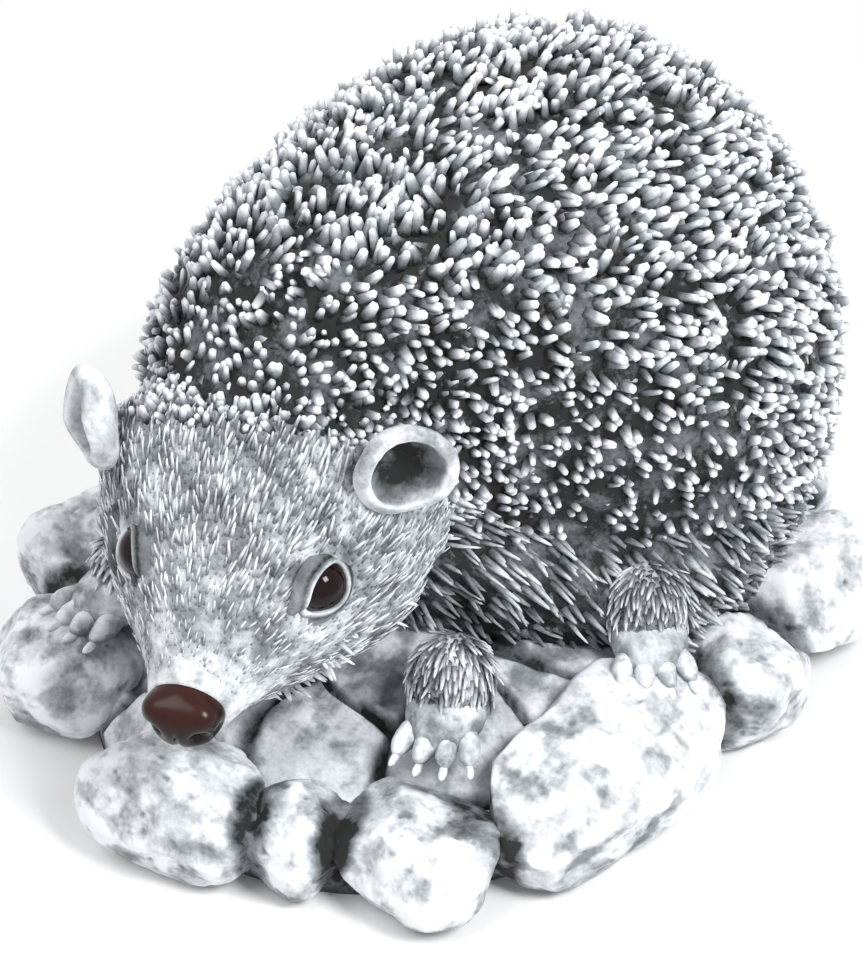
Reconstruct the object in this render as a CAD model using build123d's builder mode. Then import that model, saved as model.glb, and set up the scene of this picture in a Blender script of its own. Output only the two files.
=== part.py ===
"""Garden hedgehog of cast stone, lying on a bed of rounded stones.

The frame has +Z up and the animal's snout towards -Y; its left side is +X. The origin is
the middle of the flat underside. Lengths are millimetres, and angles are degrees.
"""

import os
from math import asin, cos, degrees, radians, sin, tau

from build123d import *

os.makedirs("parts", exist_ok=True)

# Bed that everything stands on
bed_half_width = 66.0
bed_half_length = 80.0
bed_height = 26.0

# Ring of stones: x, y, half length, half width, turn, height, outline used
stone_table = {
    "front_left_stone": (-4.0, -84.0, 25.0, 18.0, 20.0, 27.0, 0),
    "front_middle_stone": (22.0, -76.0, 14.0, 14.0, 70.0, 24.0, 1),
    "front_stone": (44.0, -66.0, 22.0, 16.0, 38.0, 24.0, 2),
    "front_right_stone": (64.0, -26.0, 35.0, 20.0, 74.0, 30.0, 0),
    "right_stone": (73.0, 16.0, 17.0, 16.0, 20.0, 28.0, 1),
    "right_rear_stone": (66.0, 50.0, 26.0, 19.0, 105.0, 32.0, 2),
    "rear_right_stone": (40.0, 78.0, 22.0, 18.0, 145.0, 30.0, 1),
    "rear_stone": (4.0, 87.0, 25.0, 16.0, 176.0, 28.0, 0),
    "rear_left_stone": (-36.0, 76.0, 23.0, 18.0, 35.0, 31.0, 2),
    "left_rear_stone": (-64.0, 47.0, 24.0, 18.0, 70.0, 29.0, 1),
    "left_middle_stone": (-75.0, 6.0, 23.0, 16.0, 88.0, 30.0, 0),
    "left_stone": (-68.0, -35.0, 23.0, 18.0, 110.0, 32.0, 2),
    "left_front_stone": (-50.0, -67.0, 20.0, 17.0, 130.0, 29.0, 1),
}
outline_radius_shares = (
    (1.00, 0.93, 1.04, 0.90, 1.02, 0.95, 0.90),
    (0.95, 1.05, 0.90, 1.00, 0.92, 1.03, 0.97),
    (1.03, 0.91, 0.98, 1.04, 0.89, 0.98, 1.02),
)
stone_side_taper = 8.0
stone_crown_taper = 48.0
stone_crown_share = 0.16

# Egg-shaped body: its axis runs from the chest to the rump
body_centre = (4.0, 28.0, 68.0)
body_turn = -8.0
body_pitch = 3.0
rump_radius = 71.0
waist_ball_forward = 38.0
waist_radius = 61.0
chest_ball_forward = 67.0
chest_radius = 35.0
coat_thickness = 6.0
skirt_height = 46.0
hairline_back = 3.0
ruff_back = 1.0

# Head: its axis runs down from the neck to the snout
head_place = (-8.0, -47.5, 64.0)
head_turn = 21.0
head_droop = 15.0
neck_reach = 22.0
neck_radius = 32.0
crown_radius = 34.0
crown_forward = 2.0
brow_radius = 23.5
brow_forward = 27.0
snout_radius = 8.5
snout_forward = 47.0

# Ears
ear_radius = 11.5
ear_wall = 2.6
ear_side = 33.0
ear_forward = 5.0
ear_rise = 21.0
ear_outward_turn = 40.0
ear_tilt = 20.0

# Eyes and their lids
eye_radius = 5.6
eye_side = 20.0
eye_forward = 22.3
eye_rise = 11.6
eye_outward_turn = 58.0
eye_tilt = 28.0
lid_ring_radius = 5.6
lid_thickness = 1.4
lid_outset = 1.6
fit_gap = 0.15

# Nose
nose_radius = 8.3
nose_widest = 4.0
nose_seat_radius = 7.4
nose_length = 10.0
nostril_radius = 1.8
nostril_side = 4.6
nostril_rise = 0.7
nostril_forward = 8.8

# Paws: x, y, turn
paw_table = {
    "left_front_paw": (37.0, -45.0, 24.0),
    "right_front_paw": (-44.0, -58.0, -12.0),
    "left_hind_paw": (58.0, 0.0, 42.0),
    "right_hind_paw": (-54.0, 10.0, -40.0),
}
paw_length = 28.0
paw_width = 19.0
paw_height = 12.0
paw_edge_round = 3.0
toe_count = 4
toe_gap_width = 1.2
toe_gap_length = 9.0

upright = 90.0


def aimed(place, turn, lean):
    """A frame at a place, leant about its own X after it is turned about the upright."""
    return Location(place) * Location((0.0, 0.0, 0.0), (0.0, 0.0, turn)) * Location((0.0, 0.0, 0.0), (lean, 0.0, 0.0))


def stone(x, y, half_length, half_width, turn, height, outline):
    """One rounded stone with an uneven outline, narrower towards its top."""
    heading = (cos(radians(turn)), sin(radians(turn)), 0.0)
    radii = outline_radius_shares[outline]
    corners = [
        (
            share * half_length * cos(tau * index / len(radii)),
            share * half_width * sin(tau * index / len(radii)),
        )
        for index, share in enumerate(radii)
    ]
    with BuildPart() as made:
        with BuildSketch(Plane((x, y, 0.0), x_dir=heading)):
            Polygon(*corners, align=None)
        extrude(amount=height * (1 - stone_crown_share), taper=stone_side_taper)
        shoulder = made.faces().sort_by(Axis.Z)[-1]
        extrude(shoulder, amount=height * stone_crown_share, taper=stone_crown_taper)
    return made.part


def egg(inset):
    """The body's egg, smaller all round by inset: a skin drawn tight over three balls in line."""
    along = (-chest_ball_forward, -waist_ball_forward, 0.0)
    radii = (chest_radius - inset, waist_radius - inset, rump_radius - inset)
    slopes = [
        degrees(asin((radii[index] - radii[index + 1]) / (along[index + 1] - along[index])))
        for index in range(len(radii) - 1)
    ]
    turns = [-upright, *slopes, upright]
    with BuildPart() as made:
        with BuildSketch(Plane.XZ):
            with BuildLine():
                for index, radius in enumerate(radii):
                    sweep_angle = turns[index + 1] - turns[index]
                    arc = CenterArc((0.0, along[index]), radius, turns[index], sweep_angle)
                    if index:
                        Line(last_end, arc @ 0)
                    last_end = arc @ 1
                Line((0.0, along[-1] + radii[-1]), (0.0, along[0] - radii[0]))
            make_face()
        revolve(axis=Axis.Z)
    return aimed(body_centre, body_turn, -body_pitch - upright) * made.part


def skull():
    """The head without ears or eyes: a domed crown that runs into a straight muzzle."""
    with BuildPart() as made:
        with BuildSketch(Plane.XY):
            with BuildLine():
                crown = ThreePointArc(
                    (neck_radius, neck_reach),
                    (crown_radius, -crown_forward),
                    (brow_radius, -brow_forward),
                )
                muzzle = Line(crown @ 1, (snout_radius, -snout_forward))
                Line(muzzle @ 1, (0.0, -snout_forward))
                Line((0.0, -snout_forward), (0.0, neck_reach))
                Line((0.0, neck_reach), crown @ 0)
            make_face()
        revolve(axis=Axis.Y)
    return head_frame * made.part


def ear(side):
    """One ear: a round cup that opens forwards and outwards."""
    place = aimed((side * ear_side, -ear_forward, ear_rise), side * ear_outward_turn, upright - ear_tilt)
    with BuildPart() as made:
        with BuildSketch(Plane.XZ):
            with BuildLine():
                outer = CenterArc((0.0, 0.0), ear_radius, start_angle=270.0, arc_size=90.0)
                inner = CenterArc((0.0, 0.0), ear_radius - ear_wall, start_angle=270.0, arc_size=90.0)
                Line(outer @ 0, inner @ 0)
                Line(outer @ 1, inner @ 1)
            make_face()
        revolve(axis=Axis.Z)
    return head_frame * place * made.part


def eye_place(side):
    """Where an eye sits on the head, with its own Z pointing out of the socket."""
    socket = (side * eye_side, -eye_forward, eye_rise)
    return head_frame * aimed(socket, side * eye_outward_turn, upright - eye_tilt)


def eyeball(side, grow):
    """One round eye, or its socket when grow is the fit gap."""
    with BuildPart() as made:
        Sphere(eye_radius + grow)
    return eye_place(side) * made.part


def eyelid(side):
    """The raised rim round one eye."""
    with BuildPart() as made:
        with Locations((0.0, 0.0, lid_outset)):
            Torus(lid_ring_radius, lid_thickness)
    return eye_place(side) * made.part


def nose_leather():
    """The nose: a round cap seated on the end of the snout, with two nostrils."""
    with BuildPart() as made:
        with BuildSketch(Plane.XZ):
            with BuildLine():
                middle = Line((0.0, 0.0), (0.0, nose_length))
                cap = TangentArc(middle @ 1, (nose_radius, nose_widest), tangent=(1.0, 0.0))
                flank = Line(cap @ 1, (nose_seat_radius, 0.0))
                Line(flank @ 1, middle @ 0)
            make_face()
        revolve(axis=Axis.Z)
        for side in (-1, 1):
            with Locations((side * nostril_side, nostril_rise, nostril_forward)):
                Sphere(nostril_radius, mode=Mode.SUBTRACT)
    return head_frame * aimed((0.0, -snout_forward, 0.0), 0.0, upright) * made.part


def paw(x, y, turn):
    """One paw lying on the bed: a low rounded block with gaps between its toes."""
    with BuildPart() as made:
        with BuildSketch():
            SlotOverall(paw_length, paw_width, rotation=90.0)
        extrude(amount=paw_height)
        fillet(made.faces().sort_by(Axis.Z)[-1].edges(), radius=paw_edge_round)
        with BuildSketch():
            with Locations((0.0, -paw_length / 2)):
                with GridLocations(paw_width / toe_count, 0.0, toe_count - 1, 1):
                    Rectangle(toe_gap_width, 2 * toe_gap_length)
        extrude(amount=paw_height, mode=Mode.SUBTRACT)
    return Location((x, y, bed_height), (0.0, 0.0, turn)) * made.part


def without(shape, *tools):
    """The shape less whatever the tools fill."""
    with BuildPart() as made:
        add(shape)
        for tool in tools:
            add(tool, mode=Mode.SUBTRACT)
    return made.part


def beyond(shape, plane):
    """The part of the shape that lies on the side that the plane faces."""
    with BuildPart() as made:
        add(shape)
        split(bisect_by=plane, keep=Keep.TOP)
    return made.part


def keep(name, shape):
    """Labels a finished piece and writes its file."""
    shape.label = name
    export_step(shape, f"parts/{name}.step")
    return shape


head_frame = aimed(head_place, head_turn, head_droop)

# The head takes the eyes in sockets, with a lid round each
head_block = skull()
sockets = [eyeball(side, fit_gap) for side in (-1, 1)]
keep("right_eye", eyeball(-1, 0.0))
keep("left_eye", eyeball(1, 0.0))
ears = [keep(name, without(ear(side), head_block)) for name, side in (("right_ear", -1), ("left_ear", 1))]
keep("nose", nose_leather())
with BuildPart() as head:
    add(head_block)
    for rim_side in (-1, 1):
        add(eyelid(rim_side))
    for socket in sockets:
        add(socket, mode=Mode.SUBTRACT)
    for cup in ears:
        add(cup, mode=Mode.SUBTRACT)
keep("head", head.part)

# The torso rests on the bed inside the coat, which is open in front for the head
full_body = egg(0.0)
inner_body = egg(coat_thickness)
ruff_plane = Plane(head_frame * Location((0.0, ruff_back, 0.0), (-upright, 0.0, 0.0)))
furry_part = beyond(beyond(inner_body, Plane.XY.offset(bed_height)), ruff_plane)
torso = keep("torso", without(furry_part, head_block, *ears))
hairline = Plane(head_frame * Location((0.0, hairline_back, 0.0), (-upright, 0.0, 0.0)))
spiny_part = beyond(beyond(full_body, Plane.XY.offset(skirt_height)), hairline)
coat = keep("spine_coat", without(spiny_part, inner_body, head_block, *ears))

paws = [keep(name, without(paw(*row), torso, head_block)) for name, row in paw_table.items()]

# The stones stand round the bed, each cut where the animal or an earlier stone lies
placed = []
for stone_name, stone_row in stone_table.items():
    block = stone(*stone_row)
    keep(stone_name, without(block, torso, *paws, *placed))
    placed.append(block)

with BuildPart() as rock_bed:
    with BuildSketch():
        Ellipse(bed_half_width, bed_half_length)
    extrude(amount=bed_height)
    for block in placed:
        add(block, mode=Mode.SUBTRACT)
keep("rock_bed", rock_bed.part)
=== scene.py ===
"""Garden hedgehog of cast stone on a bed of rounded stones: the looks, built round the frame.

Lengths inside this file are millimetres, and a mesh is scaled to metres as it is written.
The animal's snout points towards -Y and its left side is +X.
"""

import logging
from collections.abc import Callable
from dataclasses import dataclass, field
from enum import Enum

import bpy
import numpy as np
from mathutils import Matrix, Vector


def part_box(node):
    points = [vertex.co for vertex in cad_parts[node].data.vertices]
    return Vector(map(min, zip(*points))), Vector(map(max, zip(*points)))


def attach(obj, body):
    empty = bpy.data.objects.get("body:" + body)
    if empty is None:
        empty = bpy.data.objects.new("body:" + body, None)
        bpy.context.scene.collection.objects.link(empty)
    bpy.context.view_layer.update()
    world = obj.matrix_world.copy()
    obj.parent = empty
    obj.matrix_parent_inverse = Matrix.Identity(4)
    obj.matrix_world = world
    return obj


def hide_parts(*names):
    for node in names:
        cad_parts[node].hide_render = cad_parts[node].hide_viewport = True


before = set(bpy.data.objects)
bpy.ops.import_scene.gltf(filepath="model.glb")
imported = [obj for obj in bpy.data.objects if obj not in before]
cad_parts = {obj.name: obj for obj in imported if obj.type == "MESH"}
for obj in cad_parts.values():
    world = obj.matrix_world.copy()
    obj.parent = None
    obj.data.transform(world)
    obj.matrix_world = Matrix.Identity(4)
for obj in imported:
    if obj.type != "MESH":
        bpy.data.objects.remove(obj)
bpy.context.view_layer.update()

LOG = logging.getLogger("hedgehog")
MM = 0.001
TAU = 2.0 * np.pi
BODY = "root"
TONE = "tone"
STONE_SLOT = "antiqued_stone"
EYE_SLOT = "eye_lacquer"
NOSE_SLOT = "nose_lacquer"

HAIRLINE_LEAN = 22.0
HAIRLINE_BACK = 3.0
HAIRLINE_RISE = 20.0
SKIRT_HEIGHT = 50.0
BED_TOP = 26.0
HEAD_STEP = (0.05, 2e-3)
BODY_STEP = (1e-3, 1e-3)

Array = np.ndarray
Colour = tuple[float, float, float]
Surface = Callable[[Array, Array], Array]


class Side(Enum):
    """Which side of the animal a paired piece is on."""

    LEFT = 1
    RIGHT = -1

    @property
    def word(self) -> str:
        """The side's name as node names spell it."""
        return self.name.lower()


def ramp(low: float, high: float, value: Array) -> Array:
    """Smooth step from 0 at low to 1 at high: three times the square less twice the cube.

    Args:
        low: value where the step starts.
        high: value where the step ends.
        value: numbers to step.

    Returns:
        Numbers from 0 to 1.
    """
    share = np.clip((value - low) / (high - low), 0.0, 1.0)
    return share * share * (3.0 - 2.0 * share)


def unit(vectors: Array) -> Array:
    """Vectors over their own lengths."""
    return vectors / np.maximum(np.linalg.norm(vectors, axis=-1, keepdims=True), 1e-9)


def bell(distance: Array, width: float) -> Array:
    """Bell curve: e to minus the square of distance over width."""
    return np.exp(-((distance / width) ** 2))


def ball(rings: int, steps: int) -> Array:
    """Unit directions on rings from the upper pole of a ball to its lower one.

    Args:
        rings: how many rings between the poles.
        steps: how many directions on a ring.

    Returns:
        Directions, shape (rings, steps, 3).
    """
    polar, angle = np.meshgrid(
        np.linspace(0.0, np.pi, rings + 2)[1:-1], TAU * np.arange(steps) / steps, indexing="ij"
    )
    return np.stack([np.sin(polar) * np.cos(angle), np.sin(polar) * np.sin(angle), np.cos(polar)], axis=-1)


def down_along(normals: Array) -> Array:
    """Unit way down along a skin: straight down less its share across the skin."""
    down = np.zeros_like(normals)
    down[:, 2] = -1.0
    return unit(down - normals * np.sum(down * normals, axis=1)[:, None])


def risen(flow: Array, normals: Array, lift: Array) -> Array:
    """Directions along a skin, risen from it.

    Args:
        flow: unit ways along the skin.
        normals: its outward normals.
        lift: angles in degrees.

    Returns:
        Unit directions.
    """
    angle = np.radians(lift)[:, None]
    return unit(normals * np.sin(angle) + flow * np.cos(angle))


def node_box(node: str) -> tuple[Array, Array]:
    """Middle and half size of a frame node's box, in millimetres."""
    low, high = (np.array(corner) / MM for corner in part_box(node))
    return 0.5 * (low + high), 0.5 * (high - low)


def turned(turn: float, lean: float) -> Array:
    """Matrix that leans about X and then turns about the upright, in degrees.

    Args:
        turn: angle about Z.
        lean: angle about X, made first.

    Returns:
        A 3 by 3 matrix.
    """
    t, s = np.radians(turn), np.radians(lean)
    about_z = np.array([[np.cos(t), -np.sin(t), 0.0], [np.sin(t), np.cos(t), 0.0], [0.0, 0.0, 1.0]])
    about_x = np.array([[1.0, 0.0, 0.0], [0.0, np.cos(s), -np.sin(s)], [0.0, np.sin(s), np.cos(s)]])
    return about_z @ about_x


def lattice_value(cells: Array, seed: int) -> Array:
    """Random number from -1 to 1 for each whole lattice point, the same on every run.

    Args:
        cells: whole coordinates, three in the last axis.
        seed: picks another set of numbers.

    Returns:
        One number for each point.
    """
    x, y, z = (cells[..., axis].astype(np.int64) for axis in range(3))
    mixed = (x * 73856093) ^ (y * 19349663) ^ (z * 83492791) ^ (seed * 2654435761)
    mixed = (mixed ^ (mixed >> 13)) * 1274126177 & 0x7FFFFFFF
    mixed = (mixed ^ (mixed >> 16)) & 0xFFFF
    return mixed / 32767.5 - 1.0


def noise(points: Array, size: float, seed: int = 0) -> Array:
    """Smooth lattice noise: random values at cube corners, blended by smooth steps.

    Args:
        points: places in millimetres.
        size: side of a lattice cube.
        seed: picks another pattern.

    Returns:
        Numbers from about -1 to 1.
    """
    scaled = points / size
    low = np.floor(scaled)
    share = scaled - low
    share = share * share * (3.0 - 2.0 * share)
    total = np.zeros(points.shape[:-1])
    for corner in np.ndindex(2, 2, 2):
        offset = np.array(corner)
        weight = np.prod(np.where(offset, share, 1.0 - share), axis=-1)
        total += weight * lattice_value(low + offset, seed)
    return total


def rough(points: Array, size: float, octaves: int, seed: int = 0) -> Array:
    """Sum of noises, each half as large and half as strong as the one before.

    Args:
        points: places in millimetres.
        size: lattice size of the first noise.
        octaves: how many noises are added.
        seed: picks another pattern.

    Returns:
        Numbers from about -1 to 1.
    """
    layers = [noise(points, size / 2**step, seed + step) / 2**step for step in range(octaves)]
    return sum(layers) / (2.0 - 2.0 ** (1 - octaves))


@dataclass
class Mesh:
    """Vertices, faces and tone of one piece in the making.

    Attributes:
        points: vertex places in millimetres.
        faces: arrays of face corners, each with 3 or 4 columns.
        tone: 0 for dark recesses to 1 for dry-brushed tops, one for each vertex; in places it also holds
            painted shade and painted light.
    """

    points: Array
    faces: list[Array]
    tone: Array

    @staticmethod
    def joined(parts: list["Mesh"]) -> "Mesh":
        """One mesh that holds all the given ones.

        Args:
            parts: meshes to join.

        Returns:
            The joined mesh, its parts still separate shells.
        """
        starts = np.cumsum([0] + [len(part.points) for part in parts])
        faces = [block + start for part, start in zip(parts, starts) for block in part.faces]
        points = np.concatenate([part.points for part in parts])
        return Mesh(points, faces, np.concatenate([part.tone for part in parts]))

    def normals(self) -> Array:
        """Vertex normals: the unit sum of the area vectors of the faces round a vertex."""
        total = np.zeros_like(self.points)
        for block in self.faces:
            corners = self.points[block]
            area = np.cross(corners[:, 2] - corners[:, 0], corners[:, -1] - corners[:, 1])
            if block.shape[1] == 3:
                area = np.cross(corners[:, 1] - corners[:, 0], corners[:, 2] - corners[:, 0])
            for column in range(block.shape[1]):
                np.add.at(total, block[:, column], area)
        return unit(total)

    def outward(self) -> "Mesh":
        """The same mesh, its faces turned round if the volume that they enclose is negative.

        The volume is a sixth of the sum of each triangle's triple product.
        """
        triangles = [block[:, [0, 1, 2]] for block in self.faces]
        triangles += [block[:, [0, 2, 3]] for block in self.faces if block.shape[1] == 4]
        corners = self.points[np.concatenate(triangles)]
        if np.sum(corners[:, 0] * np.cross(corners[:, 1], corners[:, 2])) < 0.0:
            self.faces = [block[:, ::-1] for block in self.faces]
        return self

    def piece(self, name: str, material: bpy.types.Material, slot: str, *nodes: str) -> bpy.types.Object:
        """Writes the mesh as a Blender object that rides on the body.

        Args:
            name: the piece's name.
            material: its finish.
            slot: not used.
            nodes: the frame's nodes that it stands for.

        Returns:
            The new object.
        """
        data = bpy.data.meshes.new(name)
        data.vertices.add(len(self.points))
        data.vertices.foreach_set("co", (self.points * MM).astype(np.float32).ravel())
        sizes = np.concatenate([np.full(len(block), block.shape[1]) for block in self.faces])
        corners = np.concatenate([block.ravel() for block in self.faces]).astype(np.int32)
        data.loops.add(len(corners))
        data.loops.foreach_set("vertex_index", corners)
        data.polygons.add(len(sizes))
        starts = np.concatenate([[0], np.cumsum(sizes)[:-1]]).astype(np.int32)
        data.polygons.foreach_set("loop_start", starts)
        data.polygons.foreach_set("loop_total", sizes.astype(np.int32))
        data.polygons.foreach_set("use_smooth", np.ones(len(sizes), dtype=bool))
        layer = data.attributes.new(TONE, "FLOAT", "POINT")
        layer.data.foreach_set("value", np.clip(self.tone, 0.0, 1.0).astype(np.float32))
        data.update(calc_edges=True)
        data.validate()
        data.materials.append(material)
        thing = bpy.data.objects.new(name, data)
        bpy.context.scene.collection.objects.link(thing)
        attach(thing, BODY)
        if nodes:
            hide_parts(*nodes)
        LOG.info("%s: %d vertices, %d faces", name, len(self.points), len(sizes))
        return thing


def closed_grid(first: Array, rows: Array, last: Array, tone: Array) -> Mesh:
    """Closed surface from rings of points, with a pole point at each end.

    Ring r, step c has corners (r, c), (r, c + 1), (r + 1, c + 1), (r + 1, c), so that faces
    point outwards when the rings run anticlockwise seen from the first pole.

    Args:
        first: the pole before the first ring.
        rows: rings of points, shape (rings, steps, 3).
        last: the pole after the last ring.
        tone: one number for each ring point, shape (rings, steps).

    Returns:
        The closed mesh.
    """
    count, steps = rows.shape[:2]
    index = np.arange(count * steps).reshape(count, steps)
    ahead = np.roll(index, -1, axis=1)
    quads = np.stack([index[:-1], index[1:], ahead[1:], ahead[:-1]], axis=-1).reshape(-1, 4)
    start, end = count * steps, count * steps + 1
    front = np.stack([np.full(steps, start), index[0], ahead[0]], axis=-1)
    back = np.stack([np.full(steps, end), ahead[-1], index[-1]], axis=-1)
    points = np.concatenate([rows.reshape(-1, 3), first[None], last[None]])
    tones = np.concatenate([tone.ravel(), [tone[0].mean(), tone[-1].mean()]])
    return Mesh(points, [quads, front, back], tones).outward()


@dataclass(frozen=True)
class Tuft:
    """Form of the rods that stand for spines, and of the low strokes that stand for fur.

    Attributes:
        length: from root to tip.
        root: half width at the root.
        tip: half width just before the tip.
        flatness: height over width of the section.
        curl: how far the tip bends back, as a share of the length.
        sides: corners of the section.
        dark: tone at the root.
        light: tone at the tip.
    """

    length: float
    root: float
    tip: float
    flatness: float = 1.0
    curl: float = 0.0
    sides: int = 5
    dark: float = 0.0
    light: float = 1.0

    def planted(
        self, roots: Array, ways: Array, ups: Array, stretch: Array, girth: Array, shade: Array
    ) -> Mesh:
        """Rods at many places: rings about a bent centreline, closed by a point at each end.

        The centreline is root + way * length * s - up * curl * length * s squared, for s from
        0 to 1, and a ring's radius falls from the root's to the tip's.

        Args:
            roots: where each rod stands.
            ways: unit direction of each rod.
            ups: unit outward direction of the skin there.
            stretch: factor on each rod's length.
            girth: factor on each rod's width.
            shade: added to each rod's tone.

        Returns:
            One mesh of separate closed rods.
        """
        across = unit(np.cross(ways, ups))
        above = np.cross(across, ways)
        shares = np.array([0.0, 0.5, 0.88])
        radii = np.array([self.root, 0.45 * self.root + 0.55 * self.tip, self.tip])
        angles = TAU * np.arange(self.sides) / self.sides
        length = (self.length * stretch)[:, None, None]
        spine = roots[:, None] + ways[:, None] * length * shares[None, :, None]
        spine = spine - ups[:, None] * length * self.curl * (shares**2)[None, :, None]
        ring = (
            across[:, None, None] * np.cos(angles)[None, None, :, None]
            + above[:, None, None] * np.sin(angles)[None, None, :, None] * self.flatness
        )
        widths = radii[None, :, None, None] * girth[:, None, None, None]
        rings = spine[:, :, None] + ring * widths
        root_end = roots[:, None] - ways[:, None] * (0.2 * self.root)
        tip_end = roots[:, None] + ways[:, None] * length - ups[:, None] * length * self.curl
        count, levels, sides = len(roots), len(shares), self.sides
        points = np.concatenate([rings.reshape(count, -1, 3), root_end, tip_end], axis=1)
        local = np.arange(levels * sides).reshape(levels, sides)
        ahead = np.roll(local, -1, axis=1)
        quads = np.stack([local[:-1], ahead[:-1], ahead[1:], local[1:]], axis=-1).reshape(-1, 4)
        root_index, tip_index = levels * sides, levels * sides + 1
        caps = np.concatenate([
            np.stack([np.full(sides, root_index), ahead[0], local[0]], axis=-1),
            np.stack([np.full(sides, tip_index), local[-1], ahead[-1]], axis=-1),
        ])
        block = np.arange(count)[:, None, None] * (levels * sides + 2)
        # Tone rises from root to tip: the dark root is partly the wash in the gaps and partly painted shade
        # between the rods; the pale tip is the dry brush.
        level_tone = self.dark + (self.light - self.dark) * np.array([0.0, 0.52, 1.0])
        tones = np.concatenate([np.repeat(level_tone, sides), [self.dark, self.light]])
        tone = tones[None] + shade[:, None] * np.clip(tones[None], 0.15, 1.0)
        return Mesh(
            points.reshape(-1, 3),
            [(quads[None] + block).reshape(-1, 4), (caps[None] + block).reshape(-1, 3)],
            tone.ravel(),
        ).outward()


class Bench:
    """A material in the making, with its shader, object coordinates and tone."""

    def __init__(self, name: str) -> None:
        """Starts the material.

        Args:
            name: the material's name.
        """
        self.material = bpy.data.materials.new(name)
        self.material.use_nodes = True
        self.tree = self.material.node_tree
        self.shader = self.tree.nodes["Principled BSDF"]
        self.place = self.tree.nodes.new("ShaderNodeTexCoord").outputs["Object"]
        attribute = self.tree.nodes.new("ShaderNodeAttribute")
        attribute.attribute_name = TONE
        self.tone = attribute.outputs["Fac"]

    def noise(self, size: float, detail: float, roughness: float) -> bpy.types.NodeSocket:
        """Adds a noise on object coordinates.

        Args:
            size: of its cells, in millimetres.
            detail: how many finer noises are added.
            roughness: strength of each finer one.

        Returns:
            The noise's value.
        """
        node = self.tree.nodes.new("ShaderNodeTexNoise")
        node.inputs["Scale"].default_value = 1.0 / (size * MM)
        node.inputs["Detail"].default_value = detail
        node.inputs["Roughness"].default_value = roughness
        self.tree.links.new(self.place, node.inputs["Vector"])
        return node.outputs["Fac"]

    def stepped(self, value: bpy.types.NodeSocket, edge: tuple[float, float]) -> bpy.types.NodeSocket:
        """Adds a smooth step from 0 at the first value of edge to 1 at the second."""
        step = self.tree.nodes.new("ShaderNodeMapRange")
        step.interpolation_type = "SMOOTHSTEP"
        step.inputs["From Min"].default_value, step.inputs["From Max"].default_value = edge
        self.tree.links.new(value, step.inputs["Value"])
        return step.outputs["Result"]

    def swayed(
        self, base: bpy.types.NodeSocket, extra: bpy.types.NodeSocket, depth: float
    ) -> bpy.types.NodeSocket:
        """Moves base down by depth where extra is 0 and up by depth where it is 1.

        Args:
            base: the value that is moved.
            extra: a value from 0 to 1.
            depth: the most that base moves.

        Returns:
            The moved value.
        """
        scaled = self.tree.nodes.new("ShaderNodeMath")
        scaled.operation = "MULTIPLY_ADD"
        self.tree.links.new(extra, scaled.inputs[0])
        scaled.inputs[1].default_value = 2.0 * depth
        scaled.inputs[2].default_value = -depth
        total = self.tree.nodes.new("ShaderNodeMath")
        total.operation = "ADD"
        self.tree.links.new(base, total.inputs[0])
        self.tree.links.new(scaled.outputs[0], total.inputs[1])
        return total.outputs[0]

    def coloured(self, level: bpy.types.NodeSocket, stops: tuple[tuple[float, Colour], ...]) -> None:
        """Colours the shader by a ramp.

        Args:
            level: where the ramp is read.
            stops: place and colour of each stop, rising.
        """
        node = self.tree.nodes.new("ShaderNodeValToRGB")
        elements = node.color_ramp.elements
        for element, (position, colour) in zip((elements[0], elements[1]), (stops[0], stops[-1])):
            element.position = position
            element.color = (*colour, 1.0)
        for position, colour in stops[1:-1]:
            elements.new(position).color = (*colour, 1.0)
        self.tree.links.new(level, node.inputs["Fac"])
        self.tree.links.new(node.outputs["Color"], self.shader.inputs["Base Color"])

    def surfaced(
        self, height: bpy.types.NodeSocket, relief: float, strength: float, roughness: float, gloss: float
    ) -> bpy.types.Material:
        """Gives the shader its bump, roughness and gloss.

        Args:
            height: the bump's pattern.
            relief: its height in millimetres.
            strength: of the bump.
            roughness: of the surface.
            gloss: specular level.

        Returns:
            The finished material.
        """
        self.shader.inputs["Roughness"].default_value = roughness
        self.shader.inputs["Specular IOR Level"].default_value = gloss
        bump = self.tree.nodes.new("ShaderNodeBump")
        bump.inputs["Distance"].default_value = relief * MM
        bump.inputs["Strength"].default_value = strength
        self.tree.links.new(height, bump.inputs["Height"])
        self.tree.links.new(bump.outputs["Normal"], self.shader.inputs["Normal"])
        return self.material


@dataclass(frozen=True)
class AntiquedStone:
    """Cast stone with a dark wash in its hollows and a pale dry brush on its tops, coloured by a tone that
    also carries painted shade.

    Attributes:
        name: the material's name.
        hollow: colour in the deepest hollows, and where painted shade brings the tone down.
        middle: colour of the plain stone.
        top: colour of the brushed tops.
        grit: size of the grain in millimetres.
        grit_depth: how far the grain moves the tone.
        patch: size of the worn patches in millimetres.
        patch_depth: how far a worn patch lowers the tone.
        patch_edge: noise values between which a patch fades out.
    """

    name: str = "antiqued_stone"
    hollow: Colour = (0.020, 0.022, 0.022)
    middle: Colour = (0.235, 0.255, 0.275)
    top: Colour = (0.80, 0.83, 0.87)
    grit: float = 0.9
    grit_depth: float = 0.21
    patch: float = 9.0
    patch_depth: float = 0.16
    patch_edge: tuple[float, float] = (0.3, 0.7)

    def made(self) -> bpy.types.Material:
        """Builds the material: tone plus grain and patches, through a colour ramp."""
        bench = Bench(self.name)
        grain = bench.noise(self.grit, 6.0, 0.62)
        worn = bench.stepped(bench.noise(self.patch, 3.0, 0.55), self.patch_edge)
        level = bench.swayed(bench.swayed(bench.tone, grain, self.grit_depth), worn, self.patch_depth)
        bench.coloured(level, ((0.06, self.hollow), (0.46, self.middle), (0.92, self.top)))
        return bench.surfaced(grain, 0.25, 0.6, 0.82, 0.25)


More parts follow.
